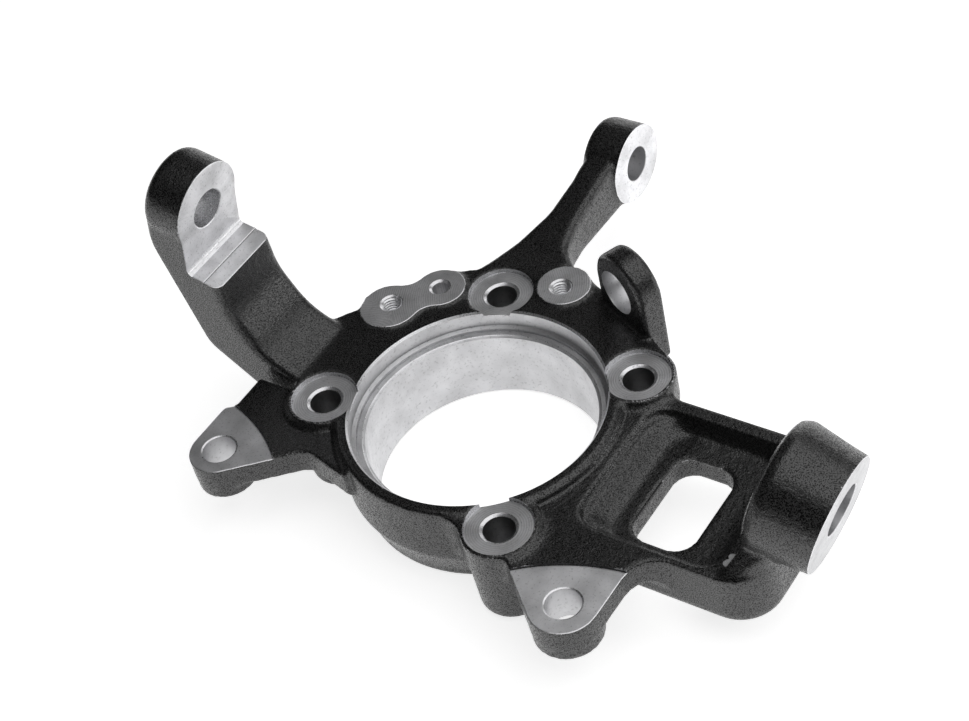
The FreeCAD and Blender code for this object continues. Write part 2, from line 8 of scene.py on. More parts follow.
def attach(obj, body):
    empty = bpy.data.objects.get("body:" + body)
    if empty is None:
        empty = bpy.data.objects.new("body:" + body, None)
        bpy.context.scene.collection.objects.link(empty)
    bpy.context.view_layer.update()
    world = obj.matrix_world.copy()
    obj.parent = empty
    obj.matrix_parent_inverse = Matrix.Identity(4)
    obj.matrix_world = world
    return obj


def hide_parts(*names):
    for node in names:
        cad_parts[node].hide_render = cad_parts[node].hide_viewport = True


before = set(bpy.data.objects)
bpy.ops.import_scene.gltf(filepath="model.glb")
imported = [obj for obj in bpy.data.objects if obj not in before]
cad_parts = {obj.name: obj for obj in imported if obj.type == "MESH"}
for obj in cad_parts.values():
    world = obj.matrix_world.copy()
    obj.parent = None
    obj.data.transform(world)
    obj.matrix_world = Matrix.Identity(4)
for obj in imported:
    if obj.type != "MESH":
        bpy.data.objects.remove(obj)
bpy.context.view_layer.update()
print("frame loaded")

mm = 0.001


# small helpers

def clearSelection():
    for item in bpy.context.selected_objects:
        item.select_set(False)


def makeActive(item):
    clearSelection()
    item.select_set(True)
    bpy.context.view_layer.objects.active = item


def applyModifier(item, kind, settings):
    makeActive(item)
    modifier = item.modifiers.new(kind.lower(), kind)
    for setting, value in settings.items():
        setattr(modifier, setting, value)
    bpy.ops.object.modifier_apply(modifier=modifier.name)


def axisTurn(axis):  # turns +Z onto the axis
    return Vector((0, 0, 1)).rotation_difference(Vector(axis)).to_matrix().to_4x4()


def turnedPiece(name, profile, place, axis, steps):
    # profile is (radius, height) in mm along the axis, spun round it into a closed form
    mesh = bpy.data.meshes.new(name)
    corners = [(radius * mm, 0, height * mm) for radius, height in profile]
    mesh.from_pydata(corners, [(i, i + 1) for i in range(len(corners) - 1)], [])
    piece = bpy.data.objects.new(name, mesh)
    bpy.context.scene.collection.objects.link(piece)
    makeActive(piece)
    bpy.ops.object.mode_set(mode="EDIT")
    bpy.ops.mesh.select_all(action="SELECT")
    bpy.ops.mesh.spin(steps=steps, angle=2 * math.pi, center=(0, 0, 0), axis=(0, 0, 1))
    bpy.ops.mesh.select_all(action="SELECT")
    bpy.ops.mesh.remove_doubles(threshold=0.00001)
    bpy.ops.mesh.normals_make_consistent(inside=False)
    bpy.ops.object.mode_set(mode="OBJECT")
    piece.data.transform(Matrix.Translation(Vector(place) * mm) @ axisTurn(axis))
    return piece


def boxPiece(name, low, high, turn=None, place=(0, 0, 0), round=0.0):
    # low and high are corners in mm before the box is turned and moved to its place
    centre = [(a + b) / 2 * mm for a, b in zip(low, high)]
    size = [(b - a) * mm for a, b in zip(low, high)]
    clearSelection()
    bpy.ops.mesh.primitive_cube_add(size=1, location=centre, scale=size)
    piece = bpy.context.object
    piece.name = name
    bpy.ops.object.transform_apply(location=True, rotation=True, scale=True)
    if round:
        applyModifier(piece, "BEVEL", {"width": round * mm, "segments": 6, "limit_method": "ANGLE"})
    turn = turn or Matrix.Identity(4)
    piece.data.transform(Matrix.Translation(Vector(place) * mm) @ turn)
    return piece


def cutAway(item, tool):
    applyModifier(item, "BOOLEAN", {"solver": "MANIFOLD", "operation": "DIFFERENCE", "object": tool})
    bpy.data.objects.remove(tool)


def nodesOf(material):
    material.use_nodes = True
    tree = material.node_tree
    tree.nodes.clear()
    return tree


def addNode(tree, kind, **settings):
    node = tree.nodes.new(kind)
    for setting, value in settings.items():
        setattr(node, setting, value)
    return node


def join(tree, output, socket):
    tree.links.new(output, socket)


# where the holes and milled faces are, in mm, as the CAD has them
up = (0, 0, 1)
upperLean = math.radians(11.2)
lowerLean = math.radians(13.7)
upperAxis = Vector((0, math.cos(upperLean), math.sin(upperLean)))
upperSquare = Vector((0, -math.sin(upperLean), math.cos(upperLean)))
lowerAxis = Vector((0, math.cos(lowerLean), math.sin(lowerLean)))
tabTurn = math.radians(-24.4)
tabAxis = Vector((math.cos(tabTurn), math.sin(tabTurn), 0))
hubPitch = 61.7
hubTurns = [math.radians(degrees) for degrees in (23.9, -52.4, -139.8, 109.2)]
holePlaces = {
    "hub": [(hubPitch * math.cos(turn), hubPitch * math.sin(turn), 0) for turn in hubTurns],
    "ear": [(-57.2, 83.6, -2), (-65.4, -77.7, -2)],
    "screw": [(32.9, 62.5, 3), (66.9, 2.9, 3)],
    "pin": [(48.4, 49.0, 3)],
    "upperEye": (-0.7, 110.2, 66.0),
    "tieEye": (146.2, 14.0, 0.0),
    "lowerEye": (0.0, -152.6, 12.9),
    "tabHole": tuple(tabAxis * 67.4 + Vector((0, 0, 15.8))),
}


# the rough casting: the CAD part with its machined holes filled and its milled faces grown,
# remeshed finely and softened as cast iron is
castingSettings = {
    "voxel": 0.00070, "softenAll": 3, "softenHollows": 8, "hollowBulge": 0.00003, "hollowSpread": 8,
    "hollowWeight": 1.6, "softenLast": 2, "keepFaces": 0.34,
}

# how far a milled face is grown, and how far from its hole the face can reach
growSettings = {"hub": (0.9, 14), "ear": (1.0, 45), "pad": (0.8, 30), "eye": (2.5, 40), "tieEye": (2.5, 25)}


def growFaces(item, normal, point, amount, reach):
    # moves a milled face outwards, along its normal, before the casting is softened
    mesh = item.data
    normal = Vector(normal)
    point = Vector(point) * mm
    wanted = set()
    for face in mesh.polygons:
        offset = face.center - point
        flat = abs(offset.dot(normal)) < 0.00002 and face.normal.dot(normal) > 0.999
        if flat and offset.length < reach * mm:
            wanted.update(face.vertices)
    for number in wanted:
        mesh.vertices[number].co += normal * amount * mm


casting = bpy.data.objects.new("knuckleSkin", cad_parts["knuckle_casting"].data.copy())
bpy.context.scene.collection.objects.link(casting)
makeActive(casting)
bpy.ops.object.mode_set(mode="EDIT")
bpy.ops.mesh.select_all(action="SELECT")
bpy.ops.mesh.remove_doubles(threshold=0.000001)
bpy.ops.object.mode_set(mode="OBJECT")

for place in holePlaces["hub"]:
    growFaces(casting, up, place, *growSettings["hub"])
for place in holePlaces["ear"]:
    growFaces(casting, up, place, *growSettings["ear"])
for place in holePlaces["screw"] + holePlaces["pin"]:
    growFaces(casting, up, place, *growSettings["pad"])
growFaces(casting, -upperAxis, holePlaces["upperEye"], *growSettings["eye"])
growFaces(casting, (0, -1, 0), holePlaces["tieEye"], *growSettings["tieEye"])
growFaces(casting, -lowerAxis, holePlaces["lowerEye"], *growSettings["eye"])
ledgePoint = Vector(holePlaces["upperEye"]) - upperSquare * 22
growFaces(casting, upperSquare, ledgePoint, *growSettings["eye"])

# radius, lowest and highest point of the plug that fills a hole, along the hole's axis
plugSettings = {
    "hub": (7.6, -38, 0.9), "ear": (8.4, -15.2, 1.0), "screw": (4.8, -15, 0.8), "upperEye": (9, -2.5, 18.2),
    "tieEye": (8.5, -2.5, 18), "lowerEye": (11.5, -2.5, 26.4), "tabHole": (10, 0, 10.5),
}


def holePlug(kind, place, axis, steps=40):
    radius, low, high = plugSettings[kind]
    return turnedPiece(kind + "Plug", [(0, low), (radius, low), (radius, high), (0, high)], place, axis, steps)


borePlug = [(0, -38), (49.5, -38), (51.5, -36), (51.5, 2.2), (0, 2.2)]
plugs = [turnedPiece("borePlug", borePlug, (0, 0, 0), up, 160)]
plugs += [holePlug("hub", place, up) for place in holePlaces["hub"]]
plugs += [holePlug("ear", place, up) for place in holePlaces["ear"]]
plugs += [holePlug("screw", place, up, 32) for place in holePlaces["screw"] + holePlaces["pin"]]
for kind, axis in (("upperEye", upperAxis), ("tieEye", (0, 1, 0)), ("lowerEye", lowerAxis), ("tabHole", tabAxis)):
    plugs.append(holePlug(kind, holePlaces[kind], axis))

# two forms that the casting has on top of the plain bodies: the proud crown of the upper eye,
# and the web's corner that sweeps up into the side of the lower boss
crownSettings = {"radius": 17.8, "lift": 2.2, "depth": 17.4, "edge": 3.0}
crownPlace = Vector(holePlaces["upperEye"]) + upperSquare * crownSettings["lift"]
crownRadius, crownDepth, crownEdge = (crownSettings[key] for key in ("radius", "depth", "edge"))
crownProfile = [
    (0, -2.5), (crownRadius, -2.5), (crownRadius, crownDepth - crownEdge),
    (crownRadius - crownEdge * 0.3, crownDepth - crownEdge * 0.3), (crownRadius - crownEdge, crownDepth),
    (0, crownDepth),
]
plugs.append(turnedPiece("eyeCrown", crownProfile, crownPlace, upperAxis, 96))


def hullPiece(name, corners):
    mesh = bpy.data.meshes.new(name)
    mesh.from_pydata([Vector(corner) * mm for corner in corners], [], [])
    piece = bpy.data.objects.new(name, mesh)
    bpy.context.scene.collection.objects.link(piece)
    makeActive(piece)
    bpy.ops.object.mode_set(mode="EDIT")
    bpy.ops.mesh.select_all(action="SELECT")
    bpy.ops.mesh.convex_hull()
    bpy.ops.mesh.select_all(action="SELECT")
    bpy.ops.mesh.normals_make_consistent(inside=False)
    bpy.ops.object.mode_set(mode="OBJECT")
    return piece


shoulderSettings = {"reach": 34.2, "radius": 15.2, "low": -9.0, "high": -1.6, "rise": 11.0}
for side in (-1, 1):
    corners = [(side * 12, -122, shoulderSettings["low"]), (side * 12, -136, shoulderSettings["low"])]
    for step in range(7):
        turn = math.radians(15 * step)
        x = side * (shoulderSettings["reach"] - shoulderSettings["radius"] * (1 - math.cos(turn)))
        y = -121 - shoulderSettings["radius"] * math.sin(turn)
        corners += [(x, y, shoulderSettings["low"]), (x, y, shoulderSettings["high"])]
    corners.append((side * 24.4, -128, shoulderSettings["rise"]))
    corners.append((side * 23.6, -137, shoulderSettings["rise"] - 2))
    plugs.append(hullPiece("bossShoulder", corners))

clearSelection()
for plug in plugs:
    plug.select_set(True)
casting.select_set(True)
bpy.context.view_layer.objects.active = casting
bpy.ops.object.join()
print("holes filled and milled faces grown")

applyModifier(casting, "REMESH", {"mode": "VOXEL", "voxel_size": castingSettings["voxel"]})

# the pocket's near end is cleared down to its own slope, which is given as inset and height
pocketSettings = {
    "left": -32.6, "right": 29.7, "near": -60.5, "length": 24, "corner": 9.0, "nearSlope": 3.0,
    "slope": ((-0.5, 0.0), (0.0, -1.0), (2.1, -5.2), (4.3, -8.0)), "shelfTop": -2.9, "shelfFall": 0.11,
}


def pocketOutline(inset, side, height, fall, taper):
    # a level or falling outline, narrower by taper at its far end
    left = pocketSettings["left"] + side
    right = pocketSettings["right"] - side
    near = pocketSettings["near"] - pocketSettings["nearSlope"] * inset
    radius = pocketSettings["corner"]
    length = pocketSettings["length"]
    corners = [(x, near - length, height - length * fall) for x in (left + taper, right - taper)]
    for step in range(10):
        turn = math.radians(10 * step)
        y = near - radius + radius * math.sin(turn)
        z = height - (near - y) * fall
        corners.append((right - radius + radius * math.cos(turn), y, z))
        corners.append((left + radius - radius * math.cos(turn), y, z))
    return corners


pocketCorners = []
for inset, height in pocketSettings["slope"]:
    pocketCorners += pocketOutline(inset, inset, height, 0.0, 0.5)
cutAway(casting, hullPiece("pocketTool", pocketCorners))
applyModifier(casting, "SMOOTH", {"factor": 0.5, "iterations": castingSettings["softenAll"]})


def meshArrays(mesh):
    spots = np.empty(len(mesh.vertices) * 3)
    mesh.vertices.foreach_get("co", spots)
    normals = np.empty(len(mesh.vertices) * 3)
    mesh.vertices.foreach_get("normal", normals)
    ends = np.empty(len(mesh.edges) * 2, dtype=np.int64)
    mesh.edges.foreach_get("vertices", ends)
    return spots.reshape(-1, 3), normals.reshape(-1, 3), ends.reshape(-1, 2)


def neighbourMean(values, ends):
    total = np.zeros_like(values)
    count = np.zeros(len(values))
    for a, b in ((0, 1), (1, 0)):
        np.add.at(total, ends[:, a], values[ends[:, b]])
        np.add.at(count, ends[:, a], 1)
    count = np.maximum(count, 1)
    return total / (count[:, None] if values.ndim == 2 else count)


def softenHollows(item, rounds):
    # inside corners of a casting are rounder than its edges, so only the hollows are softened further
    spots, normals, ends = meshArrays(item.data)
    bulge = np.einsum("ij,ij->i", neighbourMean(spots, ends) - spots, normals)
    weight = np.clip(bulge / castingSettings["hollowBulge"], 0, 1)
    for step in range(castingSettings["hollowSpread"]):
        weight = np.maximum(weight, neighbourMean(weight, ends))
    weight = np.clip(weight * castingSettings["hollowWeight"], 0, 1)
    for step in range(rounds):
        spots += (neighbourMean(spots, ends) - spots) * 0.5 * weight[:, None]
    item.data.vertices.foreach_set("co", spots.ravel())
    item.data.update()


softenHollows(casting, castingSettings["softenHollows"])

# the pocket starts with a short steep drop and a narrow shelf
pocketCorners = pocketOutline(0.0, 0.0, 0.2, 0.0, 2.0) + pocketOutline(0.0, 0.0, -1.0, 0.0, 2.0)
pocketCorners += pocketOutline(0.2, 1.6, pocketSettings["shelfTop"], pocketSettings["shelfFall"], 2.0)
cutAway(casting, hullPiece("shelfTool", pocketCorners))

# the ring and the hub bosses stand on the low deck with a short steep foot: radius at the deck, and at the reach
footSettings = {
    "ring": (56.4, 54.9), "boss": (16.3, 14.9), "ear": 9, "deck": -0.85, "reach": 5.2,
    "areas": (((-75, -118), (35.2, -36)), ((-80, 30), (-24, 100))),
}


def footPiece(kind, place, steps):
    foot, top = footSettings[kind]
    reach = footSettings["reach"]
    profile = [(0, -3), (foot + 0.6, -3), (foot, -1), (top, reach), (0, reach)]
    return turnedPiece(kind + "Keep", profile, place, up, steps)


for low, high in footSettings["areas"]:
    deckTool = boxPiece("deckTool", (low[0], low[1], footSettings["deck"]), (high[0], high[1], 4))
    cutAway(deckTool, footPiece("ring", (0, 0, 0), 160))
    for place in holePlaces["hub"][1:]:
        cutAway(deckTool, footPiece("boss", place, 64))
    earKeep = [(0, -3), (footSettings["ear"], -3), (footSettings["ear"], 6), (0, 6)]
    for place in holePlaces["ear"]:
        cutAway(deckTool, turnedPiece("earKeep", earKeep, (place[0], place[1], 0), up, 48))
    cutAway(casting, deckTool)

applyModifier(casting, "REMESH", {"mode": "VOXEL", "voxel_size": castingSettings["voxel"]})
applyModifier(casting, "SMOOTH", {"factor": 0.5, "iterations": castingSettings["softenLast"]})
applyModifier(casting, "DECIMATE", {"ratio": castingSettings["keepFaces"]})
print("casting softened", len(casting.data.polygons))


# machining: each tool is turned to its profile, (radius, height) in mm, and taken away from the casting
machiningSettings = {
    "boreSteps": 192, "holeSteps": 64, "faceSteps": 96, "hub": 6.15, "hubEdge": 6.95, "hubFace": 13.2,
    "ear": 6.7, "earEdge": 7, "earMill": 76, "earMillBack": 59, "earMillTurns": (-27.0, 22.6),
    "screw": 3.95, "screwEdge": 4.5, "pin": 3.4, "pinEdge": 4.2,
    "padMill": 14, "padMillPlaces": ((31.4, 62.3, 3), (48.4, 49.0, 3), (68.4, 2.3, 3)),
    "tieMill": 24, "lowerMill": 34,
}
boreProfile = [
    (0, -45), (52.3, -45), (45.3, -37.2), (45.3, -7.9), (46.1, -7.1), (48.5, -7.1), (48.5, -5.8),
    (50, -5.2), (50, 1.4), (52.4, 3.8), (0, 3.8),
]
seatProfiles = {
    "upperEye": [(8.5, -0.4), (8, 0.3), (7.0, 21)],
    "tieEye": [(7.9, -0.4), (7.4, 0.3), (6.6, 21)],
    "lowerEye": [(10.5, -0.4), (10, 0.3), (8.8, 29)],
    "tabHole": [(10.2, -3), (9.2, 0.7), (9.2, 9.8), (10.2, 14)],
}
holeSteps = machiningSettings["holeSteps"]


def holeTool(kind, place, low, chamfer, high):
    radius, edge = machiningSettings[kind], machiningSettings[kind + "Edge"]
    profile = [(0, low), (radius, low), (radius, -chamfer), (edge, 0), (edge, high), (0, high)]
    return turnedPiece(kind + "Tool", profile, place, up, holeSteps)


def seatTool(kind, axis):
    profile = seatProfiles[kind]
    profile = [(0, -4), (profile[0][0], -4)] + profile + [(0, profile[-1][1])]
    return turnedPiece(kind + "Tool", profile, holePlaces[kind], axis, holeSteps)


def faceMill(name, radius, height, place, axis, steps):
    return turnedPiece(name, [(0, 0), (radius, 0), (radius, height), (0, height)], place, axis, steps)


cutAway(casting, turnedPiece("boreTool", boreProfile, (0, 0, 0), up, machiningSettings["boreSteps"]))
for place in holePlaces["hub"]:
    radius, edge, face = (machiningSettings[key] for key in ("hub", "hubEdge", "hubFace"))
    profile = [(0, -45), (radius, -45), (radius, -0.8), (edge, 0), (face, 0), (face, 6), (0, 6)]
    cutAway(casting, turnedPiece("hubTool", profile, place, up, holeSteps))
for place, degrees in zip(holePlaces["ear"], machiningSettings["earMillTurns"]):
    cutAway(casting, holeTool("ear", place, -24, 0.3, 3))
    turn = math.radians(degrees)
    back = machiningSettings["earMillBack"]
    centre = (place[0] - back * math.cos(turn), place[1] - back * math.sin(turn), place[2])
    cutAway(casting, faceMill("earMill", machiningSettings["earMill"], 4, centre, up, 192))
for place in machiningSettings["padMillPlaces"]:
    cutAway(casting, faceMill("padMill", machiningSettings["padMill"], 5, place, up, holeSteps))
for place in holePlaces["screw"]:
    cutAway(casting, holeTool("screw", place, -18, 0.6, 3))
for place in holePlaces["pin"]:
    cutAway(casting, holeTool("pin", place, -18, 0.8, 3))
cutAway(casting, seatTool("upperEye", upperAxis))
cutAway(casting, seatTool("tieEye", (0, 1, 0)))
cutAway(casting, seatTool("lowerEye", lowerAxis))
tabProfile = [(0, -3)] + seatProfiles["tabHole"] + [(0, 14)]
cutAway(casting, turnedPiece("tabTool", tabProfile, holePlaces["tabHole"], tabAxis, holeSteps))
tieMill, lowerMill, faceSteps = (machiningSettings[key] for key in ("tieMill", "lowerMill", "faceSteps"))
cutAway(casting, faceMill("tieMill", tieMill, 8, holePlaces["tieEye"], (0, -1, 0), faceSteps))
cutAway(casting, faceMill("lowerMill", lowerMill, 8, holePlaces["lowerEye"], -lowerAxis, faceSteps))

# the upper eye's face and its ledge are milled with one box, and a second pass lowers the ledge's outer half
ledgeSettings = {"width": 30, "reach": 40, "depth": 22, "corner": 2.0, "pass": 0.25, "passFrom": 7.6}
leanTurn = Matrix((
    (1, 0, 0), (0, upperAxis.y, upperSquare.y), (0, upperAxis.z, upperSquare.z),
)).to_4x4()
width, reach, depth = (ledgeSettings[key] for key in ("width", "reach", "depth"))
eyePlace = holePlaces["upperEye"]
cutAway(casting, boxPiece("ledgeMill", (-width, -reach, -depth), (width, 0, reach), leanTurn, eyePlace,
                          ledgeSettings["corner"]))
cutAway(casting, boxPiece("ledgePass", (-width, -reach, -depth - ledgeSettings["pass"]),
                          (width, -ledgeSettings["passFrom"], 0), leanTurn, eyePlace))
print("machining done", len(casting.data.polygons))


# materials

paintSettings = {
    "grainScale": 1500, "grainDepth": 0.00013, "lumpScale": 430, "lumpDepth": 0.00022, "cloudScale": 45,
    "dark": 0.002, "light": 0.006, "gloss": 1.0, "smooth": 0.13, "rough": 0.92, "speckScale": 2200,
    "fleckScale": 700, "fleckShare": 0.9, "fleckEdge": 0.12, "worn": 0.42,
    "chip": 0.5, "chipRagged": 0.0012, "chipEdge": (0.0005, 0.0008), "chipSpots": (
        ((-0.0268, -0.1219, -0.0007), 0.0019), ((-0.0238, -0.1218, -0.0008), 0.0014),
    ),
}
metalSettings = {
    "mill": {"name": "milledGreyIron", "dark": 0.54, "light": 0.84, "rough": 0.48, "grainScale": 1500,
             "bump": 0.6, "rings": 1100},
    "bore": {"name": "boredBrightIron", "dark": 0.52, "light": 0.66, "rough": 0.36, "grainScale": 1200, "bump": 0.25},
    "edge": {"name": "chamferIron", "dark": 0.8, "light": 0.9, "rough": 0.3, "grainScale": 1500, "bump": 0.15},
    "face": {"name": "planedPaleIron", "dark": 0.66, "light": 0.98, "rough": 0.48, "grainScale": 1500, "bump": 0.45},
    "wall": {"name": "counterboreIron", "dark": 0.62, "light": 0.82, "rough": 0.26, "grainScale": 1500, "bump": 0.3},
    # the hub holes' walls are cut iron given a near-black grey: painted shade for the inside of the deep holes
    "hole": {"name": "holeWallPaintedShadeIron", "dark": 0.16, "light": 0.34, "rough": 0.34, "grainScale": 1500, "bump": 0.3},
}


def noiseNode(tree, vector, scale, detail, roughness=0.5):
    noise = addNode(tree, "ShaderNodeTexNoise")
    noise.inputs["Scale"].default_value = scale
    noise.inputs["Detail"].default_value = detail
    noise.inputs["Roughness"].default_value = roughness
    join(tree, vector, noise.inputs["Vector"])
    return noise


def bumpNode(tree, height, strength, distance, under=None):
    bump = addNode(tree, "ShaderNodeBump")
    bump.inputs["Strength"].default_value = strength
    bump.inputs["Distance"].default_value = distance
    join(tree, height, bump.inputs["Height"])
    if under:
        join(tree, under.outputs["Normal"], bump.inputs["Normal"])
    return bump


def rampNode(tree, value, low, lowColour, high, highColour):
    ramp = addNode(tree, "ShaderNodeValToRGB")
    ramp.color_ramp.elements[0].position = low
    ramp.color_ramp.elements[0].color = lowColour
    ramp.color_ramp.elements[1].position = high
    ramp.color_ramp.elements[1].color = highColour
    join(tree, value, ramp.inputs["Fac"])
    return ramp


def rangeNode(tree, value, low, high, toLow, toHigh):
    spread = addNode(tree, "ShaderNodeMapRange")
    spread.inputs["From Min"].default_value = low
    spread.inputs["From Max"].default_value = high
    spread.inputs["To Min"].default_value = toLow
    spread.inputs["To Max"].default_value = toHigh
    join(tree, value, spread.inputs["Value"])
    return spread.outputs["Result"]


def mathNode(tree, operation, first, second=0.0):
    node = addNode(tree, "ShaderNodeMath", operation=operation)
    for socket, value in zip(node.inputs, (first, second)):
        if isinstance(value, float):
            socket.default_value = value
        else:
            join(tree, value, socket)
    return node.outputs["Value"]


def mixNode(tree, amount, first, second):
    mix = addNode(tree, "ShaderNodeMix", data_type="RGBA")
    join(tree, amount, mix.inputs["Factor"])
    for socket, value in zip((mix.inputs["A"], mix.inputs["B"]), (first, second)):
        if isinstance(value, tuple):
            socket.default_value = value
        else:
            join(tree, value, socket)
    return mix.outputs["Result"]


def grey(value):
    return (value, value, value * 1.02, 1)


def objectSpot(tree):
    return addNode(tree, "ShaderNodeTexCoord").outputs["Object"]


def wearOf(tree):
    return addNode(tree, "ShaderNodeAttribute", attribute_name="wear").outputs["Fac"]


def finishMaterial(tree, shader):
    out = addNode(tree, "ShaderNodeOutputMaterial")
    join(tree, shader.outputs["BSDF"], out.inputs["Surface"])


def blackPaint():
    # black paint over sand-cast iron: a fine grain with soft lumps under it, rubbed through on sharp edges
    material = bpy.data.materials.new("blackPaintOnIron")
    tree = nodesOf(material)
    spot = objectSpot(tree)
    grain = noiseNode(tree, spot, paintSettings["grainScale"], 2, 0.6)
    lumps = noiseNode(tree, spot, paintSettings["lumpScale"], 3, 0.6)
    clouds = noiseNode(tree, spot, paintSettings["cloudScale"], 3)
    flecks = noiseNode(tree, spot, paintSettings["fleckScale"], 3, 0.7)
    lumpBump = bumpNode(tree, lumps.outputs["Fac"], 1.0, paintSettings["lumpDepth"])
    grainBump = bumpNode(tree, grain.outputs["Fac"], 1.0, paintSettings["grainDepth"], lumpBump)
    dark, light = grey(paintSettings["dark"]), grey(paintSettings["light"])
    shade = rampNode(tree, clouds.outputs["Fac"], 0.3, dark, 0.7, light)
    rubbed = mathNode(tree, "MULTIPLY", flecks.outputs["Fac"], paintSettings["fleckShare"])
    rubbed = mathNode(tree, "ADD", wearOf(tree), rubbed)
    rubbed = rangeNode(tree, rubbed, 1.0, 1.0 + paintSettings["fleckEdge"], 0.0, 1.0)
    colour = mixNode(tree, rubbed, shade.outputs["Color"], grey(paintSettings["worn"]))
    ragged = mathNode(tree, "MULTIPLY", flecks.outputs["Fac"], paintSettings["chipRagged"])
    nearEdge, farEdge = paintSettings["chipEdge"]
    for place, reach in paintSettings["chipSpots"]:
        away = addNode(tree, "ShaderNodeVectorMath", operation="DISTANCE")
        away.inputs[1].default_value = place
        join(tree, spot, away.inputs[0])
        away = mathNode(tree, "ADD", away.outputs["Value"], ragged)
        chip = rangeNode(tree, away, reach + nearEdge, reach + farEdge, 1.0, 0.0)
        colour = mixNode(tree, chip, colour, grey(paintSettings["chip"]))
    specks = noiseNode(tree, spot, paintSettings["speckScale"], 1, 0.6)
    sheen = rangeNode(tree, specks.outputs["Fac"], 0.48, 0.62, paintSettings["smooth"], paintSettings["rough"])
    paint = addNode(tree, "ShaderNodeBsdfPrincipled")
    paint.inputs["Specular IOR Level"].default_value = paintSettings["gloss"]
    join(tree, colour, paint.inputs["Base Color"])
    join(tree, rubbed, paint.inputs["Metallic"])
    join(tree, sheen, paint.inputs["Roughness"])
    join(tree, grainBump.outputs["Normal"], paint.inputs["Normal"])
    finishMaterial(tree, paint)
    return material


def bareMetal(name, dark, light, rough, grainScale, bump, rings=0.0):
    # cut iron: cloudy grey with fine dark pits, and on a spot face the rings that the cutter left
    material = bpy.data.materials.new(name)
    tree = nodesOf(material)
    spot = objectSpot(tree)
    grain = noiseNode(tree, spot, grainScale, 4, 0.6)
    clouds = noiseNode(tree, spot, 90, 3)
    pits = noiseNode(tree, spot, grainScale * 0.7, 2, 0.7)
    shade = rampNode(tree, clouds.outputs["Fac"], 0.3, grey(dark), 0.7, grey(light))
    pitted = rangeNode(tree, pits.outputs["Fac"], 0.58, 0.72, 0.0, 0.45)
    colour = mixNode(tree, pitted, shade.outputs["Color"], grey(dark * 0.4))
    height = grain.outputs["Fac"]
    if rings:
        radius = addNode(tree, "ShaderNodeAttribute", attribute_name="swirl").outputs["Fac"]
        wave = mathNode(tree, "SINE", mathNode(tree, "MULTIPLY", radius, rings * 2 * math.pi))
        height = mathNode(tree, "ADD", height, mathNode(tree, "MULTIPLY", wave, 0.35))
        tint = rangeNode(tree, wave, -1.0, 1.0, 0.0, 0.28)
        colour = mixNode(tree, tint, colour, grey(dark * 0.5))
    bumps = bumpNode(tree, height, bump, 0.0001)
    sheen = rangeNode(tree, pits.outputs["Fac"], 0.3, 0.7, rough - 0.06, rough + 0.08)
    metal = addNode(tree, "ShaderNodeBsdfPrincipled")
    metal.inputs["Metallic"].default_value = 0.85
    join(tree, sheen, metal.inputs["Roughness"])
    join(tree, colour, metal.inputs["Base Color"])
    join(tree, bumps.outputs["Normal"], metal.inputs["Normal"])
    finishMaterial(tree, metal)
    return material


finishes = {"paint": blackPaint()}
for finish, settings in metalSettings.items():
    finishes[finish] = bareMetal(**settings)
slotNumbers = {finish: number for number, finish in enumerate(finishes)}


